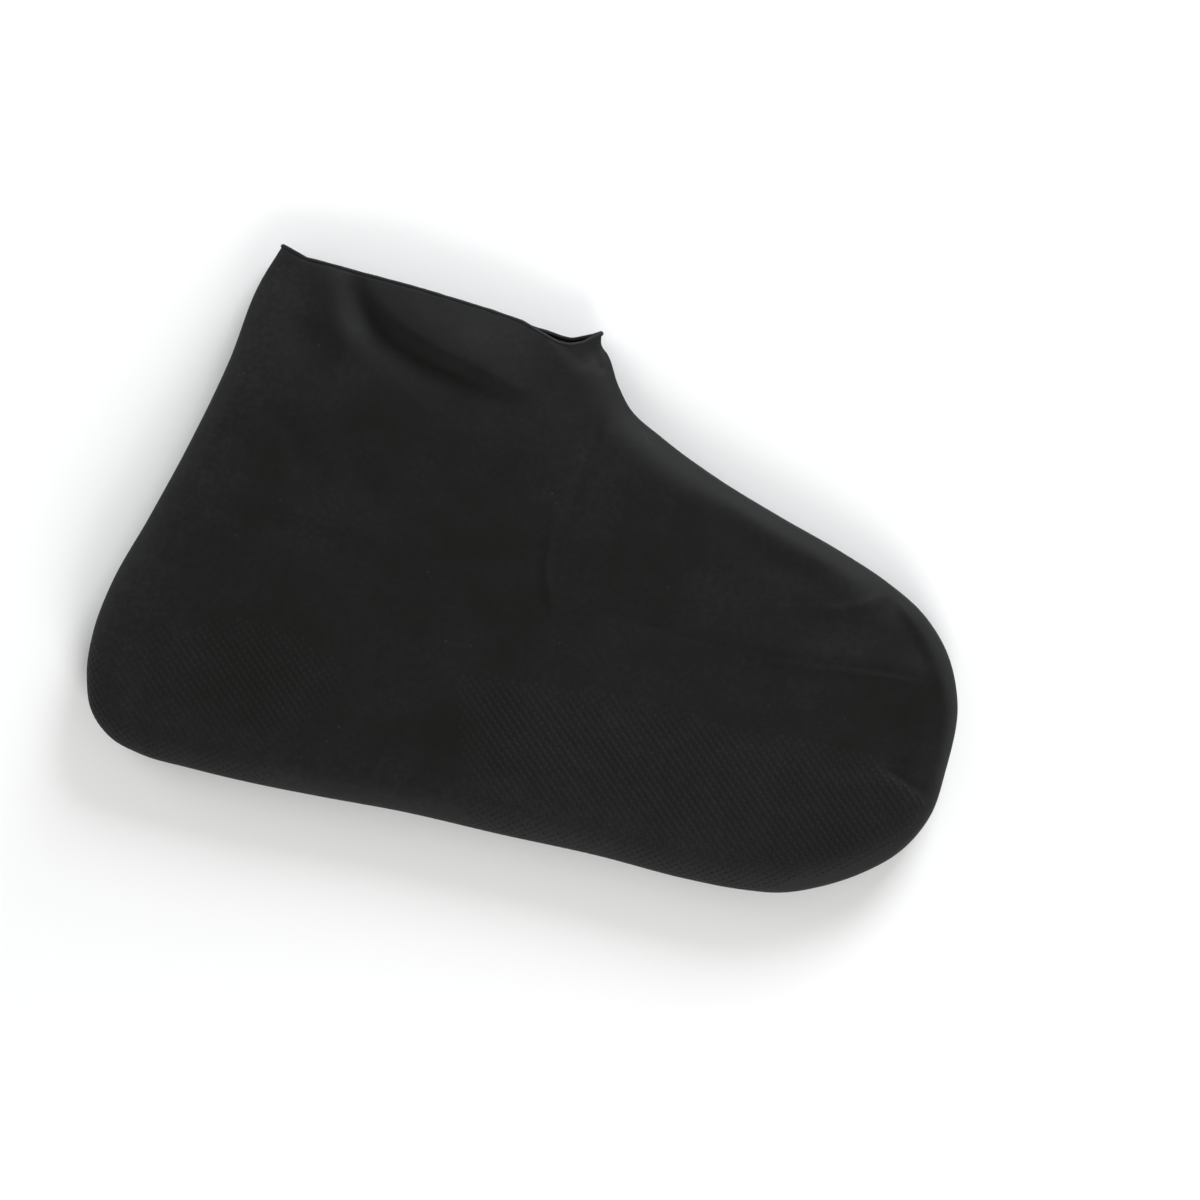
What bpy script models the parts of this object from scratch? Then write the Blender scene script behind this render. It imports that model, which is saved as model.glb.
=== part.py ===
"""A thin black rubber overshoe, laid flat on its side: one dipped shell with a rolled hem round its leg.

+X runs along the sole from heel to toe, +Y from the sole up to the leg opening, +Z up from the table.
The origin is under the middle of the overshoe, on the table.
"""

from collections import namedtuple

import bmesh
import bpy
import numpy as np

# Overall sizes, in metres
LENGTH = 0.280  # heel to toe along the sole
HEIGHT = 0.1733  # sole fold to the top of the hem at the back corner
WALL = 0.0010  # thickness of the rubber
HEM_RADIUS = 0.0008  # half the thickness of the rolled hem

# The folded edges and the hollow between the two layers
FOOT_THICKNESS = 0.0165  # both layers and the hollow together, beside the folded edge of the foot
CUFF_THICKNESS = 0.0085  # the same at the hem
ANKLE_UP = 0.71  # where the foot's thickness starts to fall towards the hem, as a share of HEIGHT
CUFF_BEND = 1.5  # 1 makes that fall straight, and more makes it steepest at the hem
EDGE_HEIGHT = 0.0060  # the outermost line of the folded edge above the table
FOLD_REACH = 0.0130  # how far in from the outline the folded edge rolls over
SWELL_HEIGHT = 0.0006  # how much higher the upper layer is in the middle of the side
SWELL_REACH = 0.0500  # how far in from the outline the swell is full

# Relief on the upper layer and along the hem
FOLD_DEPTH = 0.0030  # the height of a fold whose rise is 1
EAR_HEIGHT = 0.0045  # how far a hem corner stands above the lowest stretch of hem
HEM_FADE = 0.0220  # how far below the hem its dips die out
HEM_LIFT_FADE = 0.0110  # how far below the hem the lower layer lies on the table again

# Mesh density
EDGE_STEPS = 4  # steps over each folded edge
SIDE_STEPS = 20  # steps across the side between the folded edges, an even number
FOOT_STEPS = 56  # steps from the toe's folded edge to the hem
FRONT_PULL = 0.25  # how much the front edge counts against the back edge in spacing those steps
OUTLINE_POINTS = 360
FOLD_POINTS = 30
BEND_SECTIONS = 2.0  # how many sections from the toe the toe's round outline fades out over
FOLD_END = 0.3  # the share of a fold's path over which it fades out at each end

BLACK_RUBBER = (0.0152, 0.0152, 0.0160, 1.0)
RUBBER_ROUGHNESS = 0.55

# The outline seen from above, from the front corner of the hem down the instep, round the toe,
# along the sole, round the heel and up to the back corner. "along" is a share of LENGTH, and "up" a
# share of the height of the hem's middle line at the back corner.
OutlinePoint = namedtuple("OutlinePoint", "name along up")
OUTLINE = (
    OutlinePoint("front ear", 0.497, 0.975),
    OutlinePoint("front ear foot", 0.500, 0.953),
    OutlinePoint("ankle", 0.509, 0.939),
    OutlinePoint("throat", 0.530, 0.885),
    OutlinePoint("throat bend", 0.550, 0.847),
    OutlinePoint("instep top", 0.591, 0.810),
    OutlinePoint("instep", 0.670, 0.755),
    OutlinePoint("instep low", 0.748, 0.713),
    OutlinePoint("toe box start", 0.825, 0.675),
    OutlinePoint("toe notch", 0.890, 0.635),
    OutlinePoint("toe shoulder", 0.931, 0.599),
    OutlinePoint("toe front top", 0.969, 0.539),
    OutlinePoint("toe front", 0.996, 0.446),
    OutlinePoint("toe tip", 1.000, 0.314),
    OutlinePoint("toe front low", 0.995, 0.230),
    OutlinePoint("toe turn", 0.971, 0.152),
    OutlinePoint("toe dent", 0.931, 0.092),
    OutlinePoint("ball turn", 0.889, 0.051),
    OutlinePoint("ball front", 0.846, 0.023),
    OutlinePoint("ball", 0.800, 0.012),
    OutlinePoint("sole front", 0.728, 0.008),
    OutlinePoint("sole arch front", 0.632, 0.013),
    OutlinePoint("sole arch", 0.513, 0.011),
    OutlinePoint("sole waist", 0.394, 0.011),
    OutlinePoint("heel breast", 0.300, 0.004),
    OutlinePoint("heel front", 0.220, 0.000),
    OutlinePoint("heel bottom", 0.145, 0.001),
    OutlinePoint("heel turn", 0.085, 0.006),
    OutlinePoint("heel corner", 0.047, 0.024),
    OutlinePoint("heel corner top", 0.020, 0.062),
    OutlinePoint("heel back low", 0.004, 0.129),
    OutlinePoint("heel back", 0.000, 0.211),
    OutlinePoint("heel back high", 0.008, 0.307),
    OutlinePoint("tendon low", 0.033, 0.443),
    OutlinePoint("tendon", 0.060, 0.600),
    OutlinePoint("tendon high", 0.083, 0.766),
    OutlinePoint("cuff back", 0.097, 0.922),
    OutlinePoint("back ear", 0.113, 1.000),
)

# Sections across the foot from the toe to the hem. "front" and "back" say where each one meets the
# outline, as shares of its length from the front ear to the back ear.
Section = namedtuple("Section", "name front back")
SECTIONS = (
    Section("toe end", 0.246, 0.318),
    Section("toe", 0.222, 0.342),
    Section("toe box", 0.190, 0.378),
    Section("ball", 0.150, 0.430),
    Section("instep", 0.110, 0.490),
    Section("waist", 0.075, 0.560),
    Section("throat", 0.048, 0.630),
    Section("ankle", 0.034, 0.700),
    Section("heel", 0.025, 0.765),
    Section("heel back", 0.019, 0.830),
    Section("leg", 0.013, 0.900),
    Section("cuff", 0.006, 0.960),
    Section("hem", 0.000, 1.000),
)

# How far the hem dips below the straight line between its two corners, as shares of EAR_HEIGHT. Near
# the front corner the upper layer's hem dips further, which leaves the mouth open there.
HemPoint = namedtuple("HemPoint", "name across upper lower")
HEM = (
    HemPoint("front ear", 0.000, 0.00, 0.00),
    HemPoint("front ear foot", 0.045, 1.10, 0.55),
    HemPoint("front dip", 0.085, 1.58, 0.98),
    HemPoint("front dip end", 0.125, 1.62, 0.98),
    HemPoint("front rise", 0.165, 1.38, 0.90),
    HemPoint("front rise end", 0.240, 0.86, 0.84),
    HemPoint("front shoulder", 0.340, 0.69, 0.80),
    HemPoint("middle", 0.550, 0.56, 0.70),
    HemPoint("back shoulder", 0.920, 0.53, 0.62),
    HemPoint("back ear", 1.000, 0.00, 0.00),
)

# Folds and dents of the upper layer: each follows a bent path, given in the same shares as the outline.
# "left" and "right" are its half widths on either side of someone walking the path, as shares of LENGTH,
# and "rise" is a share of FOLD_DEPTH.
Fold = namedtuple("Fold", "name path left right rise")
FOLDS = (
    Fold(
        "cuff billow",
        (
            (0.191, 1.030),
            (0.213, 0.992),
            (0.233, 0.949),
            (0.261, 0.914),
            (0.297, 0.889),
            (0.354, 0.862),
            (0.411, 0.841),
            (0.464, 0.819),
        ),
        0.064,
        0.020,
        0.90,
    ),
    Fold(
        "cuff hollow",
        (
            (0.203, 1.004),
            (0.215, 0.950),
            (0.240, 0.894),
            (0.286, 0.853),
            (0.340, 0.832),
            (0.395, 0.814),
        ),
        0.018,
        0.028,
        -0.35,
    ),
    Fold(
        "back ridge",
        (
            (0.167, 1.018),
            (0.178, 0.960),
            (0.190, 0.906),
            (0.208, 0.852),
            (0.232, 0.798),
        ),
        0.028,
        0.036,
        0.70,
    ),
    Fold(
        "back hollow",
        (
            (0.136, 1.006),
            (0.149, 0.940),
            (0.163, 0.880),
            (0.184, 0.832),
            (0.213, 0.784),
        ),
        0.022,
        0.032,
        -0.45,
    ),
    Fold(
        "instep valley",
        (
            (0.640, 0.716),
            (0.740, 0.641),
            (0.826, 0.606),
            (0.858, 0.594),
        ),
        0.016,
        0.022,
        -0.34,
    ),
    Fold("toe pucker", ((0.806, 0.552), (0.852, 0.578), (0.880, 0.608), (0.894, 0.631)), 0.011, 0.011, 0.24),
    Fold("toe wedge", ((0.888, 0.650), (0.893, 0.612), (0.917, 0.549), (0.955, 0.480)), 0.014, 0.026, -0.30),
    Fold(
        "toe rim",
        (
            (0.840, 0.685),
            (0.866, 0.655),
            (0.893, 0.632),
            (0.931, 0.573),
            (0.969, 0.481),
            (0.988, 0.375),
            (0.978, 0.235),
            (0.958, 0.180),
        ),
        0.016,
        0.014,
        0.30,
    ),
    Fold("toe step", ((0.700, 0.451), (0.780, 0.457), (0.889, 0.474), (0.995, 0.483)), 0.032, 0.009, 0.36),
    Fold("toe hollow", ((0.895, 0.424), (0.927, 0.358), (0.954, 0.310)), 0.034, 0.030, -0.35),
    Fold("lower toe dent", ((0.915, 0.308), (0.958, 0.283), (1.002, 0.259)), 0.016, 0.011, -0.45),
    Fold("heel hollow", ((0.135, 0.701), (0.181, 0.647), (0.210, 0.561)), 0.018, 0.014, -0.20),
    Fold("leg hollow", ((0.234, 0.659), (0.263, 0.608), (0.303, 0.551)), 0.016, 0.014, -0.16),
    Fold("heel step", ((0.060, 0.514), (0.190, 0.505), (0.345, 0.484)), 0.034, 0.011, 0.18),
)

Layers = namedtuple("Layers", "upper lower")


def clear_scene():
    for item in list(bpy.data.objects):
        bpy.data.objects.remove(item, do_unlink=True)


def placed(along, up):
    """Turns shares of LENGTH and of the height below the hem's middle line into metres."""
    hem_line_height = HEIGHT - HEM_RADIUS
    return np.stack(
        [
            np.asarray(along) * LENGTH - LENGTH / 2,
            np.asarray(up) * hem_line_height - HEIGHT / 2,
        ],
        axis=-1,
    )


def smoothstep(share):
    share = np.clip(share, 0.0, 1.0)
    return share * share * (3 - 2 * share)


def smooth_path(knots, distances):
    """Reads a smooth curve through the knots, at distances measured along them from the first."""
    steps = np.linalg.norm(np.diff(knots, axis=0), axis=1)
    reach = np.concatenate([[0.0], np.cumsum(steps)])
    slopes = np.gradient(knots, reach, axis=0)
    distances = np.clip(distances, 0.0, reach[-1])
    span = np.clip(np.searchsorted(reach, distances, side="right") - 1, 0, len(steps) - 1)
    length = steps[span][..., None]
    part = (distances - reach[span])[..., None] / length
    leaving = (1 + 2 * part) * knots[span] + part * slopes[span] * length
    arriving = (3 - 2 * part) * knots[span + 1] + (part - 1) * slopes[span + 1] * length
    return leaving * (1 - part) ** 2 + arriving * part**2


def path_length(knots):
    return np.linalg.norm(np.diff(knots, axis=0), axis=1).sum()


def nearest_on_path(places, path):
    """Each place's distance to a run of short straight steps, how far along it is, and if it is left."""
    starts = path[:-1]
    steps = path[1:] - starts
    offsets = places[..., None, :] - starts
    share = np.clip((offsets * steps).sum(-1) / (steps**2).sum(-1), 0.0, 1.0)
    gaps = offsets - share[..., None] * steps
    distances = np.linalg.norm(gaps, axis=-1)
    turns = steps[:, 0] * gaps[..., 1] - steps[:, 1] * gaps[..., 0]
    closest = distances.argmin(-1)[..., None]
    distance = np.take_along_axis(distances, closest, -1)[..., 0]
    along = (closest + np.take_along_axis(share, closest, -1))[..., 0] / len(steps)
    is_left = np.take_along_axis(turns, closest, -1)[..., 0] > 0
    return distance, along, is_left


def edge_distances(reach):
    """Places across a folded edge, close together at the very edge, where it turns fastest."""
    turn = np.linspace(0.0, np.pi / 2, EDGE_STEPS + 1)
    return reach * (1 - np.cos(turn))


def across_shares(width):
    """Where the grid's columns cross a section of this width, as shares from front to back."""
    edge = edge_distances(FOLD_REACH / width)
    middle = np.linspace(edge[-1], 1 - edge[-1], SIDE_STEPS + 1)
    return np.concatenate([edge[:-1], middle, 1 - edge[-2::-1]])


def blend_sections(column, stations):
    """One column of the section table, read at whole or part section numbers."""
    values = [getattr(section, column) for section in SECTIONS]
    return np.interp(stations, np.arange(len(SECTIONS)), values)


def foot_stations(outline_knots):
    """Section numbers of the grid's rows, evenly spaced along the foot after the toe's folded edge."""
    length = path_length(outline_knots)
    fine = np.linspace(0, len(SECTIONS) - 1, OUTLINE_POINTS)
    front = smooth_path(outline_knots, blend_sections("front", fine) * length)
    back = smooth_path(outline_knots, blend_sections("back", fine) * length)
    front_steps = np.linalg.norm(np.diff(front, axis=0), axis=1)
    back_steps = np.linalg.norm(np.diff(back, axis=0), axis=1)
    steps = FRONT_PULL * front_steps + (1 - FRONT_PULL) * back_steps
    travelled = np.concatenate([[0.0], np.cumsum(steps)])
    edge = edge_distances(FOLD_REACH)
    rest = np.linspace(edge[-1], travelled[-1], FOOT_STEPS + 1)
    return np.interp(np.concatenate([edge[:-1], rest]), travelled, fine)


def plan_grid(outline_knots):
    """Places in the flat outline: rows from the toe to the hem, columns from front to back."""
    length = path_length(outline_knots)
    stations = foot_stations(outline_knots)
    front_at = blend_sections("front", stations)
    back_at = blend_sections("back", stations)
    front = smooth_path(outline_knots, front_at * length)
    back = smooth_path(outline_knots, back_at * length)
    widths = np.linalg.norm(back - front, axis=1)
    shares = np.array([across_shares(width) for width in widths])
    straight = front[:, None] + (back - front)[:, None] * shares[..., None]
    # The first row bends round the toe's outline, and the bend dies out row by row
    toe_run = front_at[0] + (back_at[0] - front_at[0]) * shares[0]
    bend = smooth_path(outline_knots, toe_run * length) - straight[0]
    fade = 1 - smoothstep(stations / BEND_SECTIONS)
    return straight + bend * fade[:, None, None], shares


def thickness(plan):
    """The overshoe gets flatter from the ankle up to the hem."""
    up = (plan[..., 1] + HEIGHT / 2) / HEIGHT
    thinner = np.clip((up - ANKLE_UP) / (1 - ANKLE_UP), 0.0, 1.0) ** CUFF_BEND
    return FOOT_THICKNESS + (CUFF_THICKNESS - FOOT_THICKNESS) * thinner


def hem_dip(plan, shares, column):
    """How far each place sinks towards the sole because the hem dips between its corners."""
    dips = np.interp(shares, [row.across for row in HEM], [getattr(row, column) for row in HEM])
    below_hem = np.linalg.norm(plan[-1] - plan, axis=-1)
    return EAR_HEIGHT * dips * (1 - smoothstep(below_hem / HEM_FADE))


def fold_relief(plan):
    """The height that all folds and dents add to the upper layer."""
    relief = np.zeros(plan.shape[:-1])
    for fold in FOLDS:
        knots = np.array([placed(*place) for place in fold.path])
        path = smooth_path(knots, np.linspace(0, path_length(knots), FOLD_POINTS))
        distance, along, is_left = nearest_on_path(plan, path)
        half_width = np.where(is_left, fold.left, fold.right) * LENGTH
        ends = smoothstep(np.minimum(along, 1 - along) / FOLD_END)
        relief += fold.rise * FOLD_DEPTH * np.exp(-((distance / half_width) ** 2)) * ends
    return relief


def layer_points():
    """The outside of the upper and the lower layer, as two grids that share the folded edge."""
    outline_knots = np.array([placed(row.along, row.up) for row in OUTLINE])
    plan, shares = plan_grid(outline_knots)
    outline = smooth_path(outline_knots, np.linspace(0, path_length(outline_knots), OUTLINE_POINTS))
    depth, _, _ = nearest_on_path(plan, outline)
    depth[0] = 0.0
    depth[:, 0] = 0.0
    depth[:, -1] = 0.0
    rolled = np.sqrt(1 - (1 - np.clip(depth / FOLD_REACH, 0.0, 1.0)) ** 2)
    upper_plan = plan.copy()
    upper_plan[..., 1] -= hem_dip(plan, shares, "upper")
    lower_plan = plan.copy()
    lower_plan[..., 1] -= hem_dip(plan, shares, "lower")
    swell = SWELL_HEIGHT * smoothstep((depth - FOLD_REACH) / (SWELL_REACH - FOLD_REACH))
    crown = thickness(upper_plan) + swell + fold_relief(upper_plan)
    upper_z = EDGE_HEIGHT + (crown - EDGE_HEIGHT) * rolled
    below_hem = np.linalg.norm(plan[-1] - plan, axis=-1)
    lift = (HEM_RADIUS - WALL / 2) * (1 - smoothstep(below_hem / HEM_LIFT_FADE))
    lower_z = EDGE_HEIGHT * (1 - rolled) + lift * rolled
    upper = np.dstack([upper_plan, upper_z])
    lower = np.dstack([lower_plan, lower_z])
    return Layers(upper, lower)


def add_face(mesh, grid, row, column, facing_up):
    corners = [
        grid[row][column],
        grid[row + 1][column],
        grid[row + 1][column + 1],
        grid[row][column + 1],
    ]
    mesh.faces.new(corners if facing_up else corners[::-1])


def shell_surface(layers):
    """The open outer surface: both layers joined along the sole, toe, instep and heel folds.

    The lower layer lies flat, so it has only every second column of the upper layer.
    """
    rows, columns = layers.upper.shape[:2]
    mesh = bmesh.new()
    upper = [[mesh.verts.new(point) for point in row] for row in layers.upper]
    lower = []
    for row in range(1, rows):
        inner = [mesh.verts.new(point) for point in layers.lower[row][2:-2:2]]
        lower.append([upper[row][0], *inner, upper[row][-1]])
    for row in range(rows - 1):
        for column in range(columns - 1):
            add_face(mesh, upper, row, column, facing_up=True)
    for row in range(rows - 2):
        for column in range(len(lower[0]) - 1):
            add_face(mesh, lower, row, column, facing_up=False)
    for column in range(len(lower[0]) - 1):
        toe = upper[0][2 * column : 2 * column + 3]
        mesh.faces.new([lower[0][column + 1], lower[0][column], *toe])
    data = bpy.data.meshes.new("overshoe_shell")
    mesh.to_mesh(data)
    mesh.free()
    return data


def hem_line(layers):
    """The middle line of the rolled hem, half a wall inside the edge of the mouth."""
    upper = layers.upper[-1].copy()
    lower = layers.lower[-1].copy()
    middle = (upper[:, 2] + lower[:, 2]) / 2
    upper[:, 2] = np.maximum(upper[:, 2] - WALL / 2, middle)
    lower[:, 2] = np.minimum(lower[:, 2] + WALL / 2, middle)
    return np.concatenate([upper, lower[-2:0:-1]])


def hem_ring(layers, cutters):
    """The rolled hem, a closed tube along the mouth, made a mesh so that it can join the shell."""
    loop = hem_line(layers)
    curve = bpy.data.curves.new("hem_path", "CURVE")
    curve.dimensions = "3D"
    curve.bevel_depth = HEM_RADIUS
    curve.bevel_resolution = 2
    spline = curve.splines.new("POLY")
    spline.points.add(len(loop) - 1)
    for point, place in zip(spline.points, loop):
        point.co = (*place, 1.0)
    spline.use_cyclic_u = True
    tube = bpy.data.objects.new("hem_path", curve)
    cutters.objects.link(tube)
    bpy.context.view_layer.update()
    evaluated = tube.evaluated_get(bpy.context.evaluated_depsgraph_get())
    ring = bpy.data.objects.new("rolled_hem", bpy.data.meshes.new_from_object(evaluated))
    ring.matrix_world = tube.matrix_world
    cutters.objects.link(ring)
    bpy.data.objects.remove(tube, do_unlink=True)
    ring.hide_render = True
    ring.display_type = "WIRE"
    return ring


def rubber():
    material = bpy.data.materials.new("black_rubber")
    material.use_nodes = True
    shader = material.node_tree.nodes["Principled BSDF"]
    shader.inputs["Base Color"].default_value = BLACK_RUBBER
    shader.inputs["Roughness"].default_value = RUBBER_ROUGHNESS
    shader.inputs["Metallic"].default_value = 0.0
    return material


def new_collection(name):
    collection = bpy.data.collections.new(name)
    bpy.context.scene.collection.children.link(collection)
    return collection


def build_overshoe():
    clear_scene()
    overshoe = new_collection("rubber_overshoe")
    cutters = new_collection("joined_shapes")
    layers = layer_points()
    data = shell_surface(layers)
    data.materials.append(rubber())
    data.shade_smooth()
    shell = bpy.data.objects.new("overshoe_shell", data)
    overshoe.objects.link(shell)
    wall = shell.modifiers.new("wall", "SOLIDIFY")
    wall.thickness = WALL
    wall.offset = -1.0
    wall.use_even_offset = True
    wall.use_quality_normals = True
    hem = shell.modifiers.new("rolled hem", "BOOLEAN")
    hem.operation = "UNION"
    hem.object = hem_ring(layers, cutters)


build_overshoe()
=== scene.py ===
import math
import bpy
import numpy as np
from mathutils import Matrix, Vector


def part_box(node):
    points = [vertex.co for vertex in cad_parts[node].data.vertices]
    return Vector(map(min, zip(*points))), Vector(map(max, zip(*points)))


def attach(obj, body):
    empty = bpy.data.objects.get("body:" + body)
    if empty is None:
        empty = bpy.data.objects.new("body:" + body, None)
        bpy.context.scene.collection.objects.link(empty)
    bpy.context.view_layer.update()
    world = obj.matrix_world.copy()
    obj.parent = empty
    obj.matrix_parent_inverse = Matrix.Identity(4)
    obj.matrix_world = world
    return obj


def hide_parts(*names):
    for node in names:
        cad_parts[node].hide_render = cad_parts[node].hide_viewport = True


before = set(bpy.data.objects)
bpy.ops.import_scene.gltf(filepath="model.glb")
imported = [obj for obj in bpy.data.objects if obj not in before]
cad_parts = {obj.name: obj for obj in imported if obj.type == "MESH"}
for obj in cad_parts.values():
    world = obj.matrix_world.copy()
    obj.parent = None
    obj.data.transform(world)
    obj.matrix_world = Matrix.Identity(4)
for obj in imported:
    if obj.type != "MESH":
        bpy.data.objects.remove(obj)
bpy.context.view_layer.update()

# A black dipped-rubber overshoe lying flat on its side, seen from straight above.
# +X runs from heel to toe, +Y from the sole up to the leg opening, +Z up from the table.
boxLow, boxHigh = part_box("overshoe_shell")
shoeLength = boxHigh[0] - boxLow[0]
shoeHeight = boxHigh[1] - boxLow[1]
middleX = (boxHigh[0] + boxLow[0]) / 2
middleY = (boxHigh[1] + boxLow[1]) / 2
print("frame:", round(shoeLength, 4), "by", round(shoeHeight, 4), "m")

shell = {
    "wall": 0.0010,
    "footThickness": 0.0165,
    "cuffThickness": 0.0085,
    "ankleUp": 0.71,  # share of the height where the overshoe starts to get flatter
    "edgeHeight": 0.0060,  # height of the outermost line of the folded edge
    "foldReach": 0.0130,  # how far in the folded edge rolls over
    "sagDepth": -0.0006,
    "sagReach": 0.0500,
    "foldDepth": 0.0030,
    "edgeSteps": 14,
    "sideSteps": 96,
    "footSteps": 250,
    "frontPull": 0.25,
    "limpness": 0.00022,  # slow waves of the slack rubber
    "paintedLightReach": 0.0260,  # how far in from the outline the sole and heel edges are painted paler: painted light for the light their rolled edges catch
    "paintedLightStart": 0.36,  # share of the outline, past the toe, where this painted light starts
    "paintedLightEnd": 0.46,
}

hem = {
    "radius": 0.0008,
    "earHeight": 0.0045,
    "fade": 0.0220,
    "liftFade": 0.0110,
    "sunk": 0.0006,  # how far the hem's middle lies below the outside of the wall
    "sides": 14,
    "unevenness": 0.07,
    # across from the front corner: dip of the upper and of the lower layer's hem, shares of earHeight
    "dips": ((0.000, 0.00, 0.00), (0.045, 1.10, 0.55), (0.085, 1.58, 0.98), (0.125, 1.62, 0.98),
             (0.165, 1.38, 0.90), (0.240, 0.86, 0.84), (0.340, 0.69, 0.80), (0.550, 0.56, 0.70),
             (0.920, 0.53, 0.62), (1.000, 0.00, 0.00)),
}

# outline from the front corner of the hem round toe, sole and heel to the back corner:
# share of the length, share of the height of the hem's middle line
outlineKnots = (
    (0.497, 0.975), (0.500, 0.953), (0.509, 0.939), (0.530, 0.885), (0.550, 0.847), (0.591, 0.810),
    (0.670, 0.755), (0.748, 0.713), (0.825, 0.675), (0.890, 0.635), (0.931, 0.599), (0.969, 0.539),
    (0.996, 0.446), (1.000, 0.314), (0.995, 0.230), (0.971, 0.152), (0.931, 0.092), (0.889, 0.051),
    (0.846, 0.023), (0.800, 0.012), (0.728, 0.008), (0.632, 0.013), (0.513, 0.011), (0.394, 0.011),
    (0.300, 0.004), (0.220, 0.000), (0.145, 0.001), (0.085, 0.006), (0.047, 0.024), (0.020, 0.062),
    (0.004, 0.129), (0.000, 0.211), (0.008, 0.307), (0.033, 0.443), (0.060, 0.600), (0.083, 0.766),
    (0.097, 0.922), (0.113, 1.000),
)

# sections from the toe to the hem: where each meets the outline, in front and at the back
crossings = (
    (0.246, 0.318), (0.222, 0.342), (0.190, 0.378), (0.150, 0.430), (0.110, 0.490), (0.075, 0.560),
    (0.048, 0.630), (0.034, 0.700), (0.025, 0.765), (0.019, 0.830), (0.013, 0.900), (0.006, 0.960),
    (0.000, 1.000),
)

# folds of the upper layer. Each follows its path of places; the two widths are shares of the length, to
# the left and to the right of someone walking the path, and rise is a share of foldDepth
folds = {
    "cuffBillow": (((0.191, 1.030), (0.213, 0.992), (0.233, 0.949), (0.261, 0.914),
                    (0.297, 0.889), (0.354, 0.862), (0.411, 0.841), (0.464, 0.819)), 0.064, 0.016, 1.05),
    "cuffHollow": (((0.203, 1.004), (0.215, 0.950), (0.240, 0.894), (0.286, 0.853), (0.340, 0.832),
                    (0.395, 0.814)), 0.012, 0.026, -0.55),
    "backRidge": (((0.167, 1.018), (0.178, 0.960), (0.190, 0.906), (0.208, 0.852), (0.232, 0.798)),
                  0.025, 0.034, 0.76),
    "backHollow": (((0.136, 1.006), (0.149, 0.940), (0.163, 0.880), (0.184, 0.832), (0.213, 0.784)),
                   0.020, 0.030, -0.50),
    "instepValley": (((0.640, 0.716), (0.740, 0.641), (0.826, 0.606), (0.858, 0.594)), 0.016, 0.022, -0.34),
    "toePucker": (((0.806, 0.552), (0.852, 0.578), (0.880, 0.608), (0.894, 0.631)), 0.006, 0.007, 0.24),
    "toeWedge": (((0.888, 0.650), (0.893, 0.612), (0.902, 0.580), (0.917, 0.549), (0.937, 0.517),
                  (0.955, 0.480)), 0.012, 0.026, -0.32),
    "toeRim": (((0.840, 0.685), (0.866, 0.655), (0.893, 0.632), (0.910, 0.604), (0.931, 0.573), (0.951, 0.532),
                (0.969, 0.481), (0.982, 0.437), (0.988, 0.375), (0.988, 0.300), (0.978, 0.235),
                (0.958, 0.180)), 0.012, 0.010, 0.50),
    "toeStep": (((0.700, 0.451), (0.780, 0.457), (0.889, 0.474), (0.995, 0.483)), 0.032, 0.006, 0.40),
    "toeHollow": (((0.895, 0.424), (0.927, 0.358), (0.954, 0.310)), 0.034, 0.030, -0.35),
    "lowerToeDent": (((0.915, 0.308), (0.958, 0.283), (1.002, 0.259)), 0.016, 0.008, -0.50),
    "heelHollow": (((0.135, 0.701), (0.181, 0.647), (0.210, 0.561)), 0.018, 0.014, -0.20),
    "legHollow": (((0.234, 0.659), (0.263, 0.608), (0.303, 0.551)), 0.016, 0.014, -0.16),
    "heelStep": (((0.060, 0.514), (0.190, 0.505), (0.345, 0.484)), 0.034, 0.008, 0.20),
}

# fine creases, written as the folds are
creases = {
    "heelPacking": (((0.072, 0.513), (0.119, 0.509), (0.190, 0.505), (0.280, 0.490), (0.334, 0.485)),
                    0.0055, 0.0050, -0.12),
    "toePacking": (((0.514, 0.477), (0.553, 0.470), (0.624, 0.458), (0.689, 0.452), (0.750, 0.451),
                    (0.857, 0.466), (0.979, 0.481)), 0.0055, 0.0055, -0.08),
    "throat": (((0.519, 0.850), (0.516, 0.767), (0.511, 0.697), (0.510, 0.638), (0.513, 0.587)),
               0.0060, 0.0060, -0.20),
    "cross": (((0.496, 0.652), (0.492, 0.564), (0.495, 0.516), (0.509, 0.463), (0.518, 0.418)),
              0.0050, 0.0035, 0.26),
    "ear": (((0.490, 0.955), (0.496, 0.932), (0.503, 0.915), (0.514, 0.896)), 0.0045, 0.0060, -0.26),
    "earStreak": (((0.405, 0.975), (0.433, 0.939), (0.451, 0.919), (0.485, 0.890)), 0.0060, 0.0260, 0.15),
    "back": (((0.141, 0.888), (0.166, 0.878), (0.193, 0.872)), 0.0035, 0.0035, 0.07),
    "backRim": (((0.113, 0.995), (0.108, 0.958), (0.103, 0.915), (0.099, 0.870)), 0.0060, 0.0060, 0.25),
    "backRimHigh": (((0.102, 0.708), (0.094, 0.666), (0.087, 0.631)), 0.0080, 0.0080, 0.12),
    "backRimLow": (((0.072, 0.567), (0.063, 0.529), (0.056, 0.477)), 0.0080, 0.0080, 0.12),
    "waist": (((0.295, 0.228), (0.339, 0.234), (0.380, 0.235)), 0.0050, 0.0050, -0.07),
    "sole": (((0.299, 0.045), (0.306, 0.061), (0.312, 0.089)), 0.0050, 0.0050, -0.07),
    "toeCross": (((0.820, 0.473), (0.828, 0.408), (0.840, 0.355)), 0.0050, 0.0050, -0.06),
}


def easeShare(share):  # smooth rise from 0 to 1, level at both ends
    share = np.clip(share, 0.0, 1.0)
    return share * share * (3 - 2 * share)


def placed(shares):  # shares of the length and of the hem line's height, turned into metres
    shares = np.asarray(shares, float)
    scale = np.array([shoeLength, shoeHeight - hem["radius"]])
    return shares * scale + np.array([middleX - shoeLength / 2, middleY - shoeHeight / 2])


def runLength(knots):
    return np.linalg.norm(np.diff(knots, axis=0), axis=1).sum()


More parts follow.
